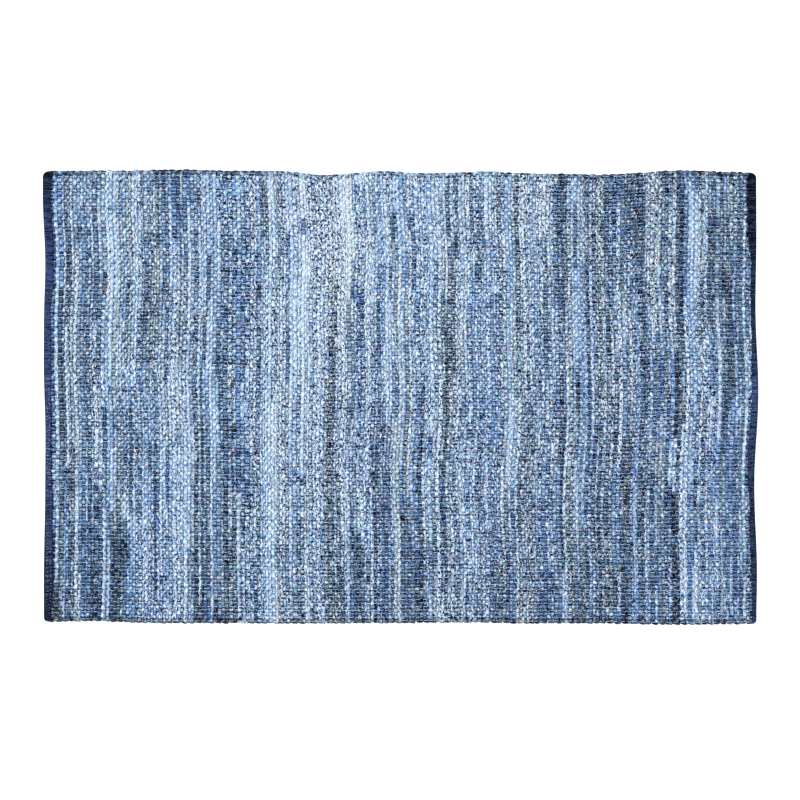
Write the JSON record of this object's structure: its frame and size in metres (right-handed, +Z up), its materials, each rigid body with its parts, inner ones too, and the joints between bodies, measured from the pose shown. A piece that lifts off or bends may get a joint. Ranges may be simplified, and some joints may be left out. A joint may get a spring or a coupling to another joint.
{
  "type": "flat-woven rag rug",
  "caption": "Rectangular flat-woven rag rug in mixed denim blues, with a folded navy tape sewn over each short end. It lies flat on a floor.",
  "frame": {"origin": "on the floor, at the middle of the rug's bounding box", "axes": "+X along the rug's length, across the rag strips, +Y across its width, along the rag strips, and +Z up from the floor"},
  "size_m": [1.5239, 0.97, 0.007],
  "materials": {
    "denim_rag_weave": "matte",
    "navy_end_tape": "matte",
    "warp_cotton": "matte"
  },
  "bodies": {
    "root": {"woven_field": "denim_rag_weave", "end_tape_left": "navy_end_tape", "end_tape_right": "navy_end_tape"}
  },
  "joints": []
}
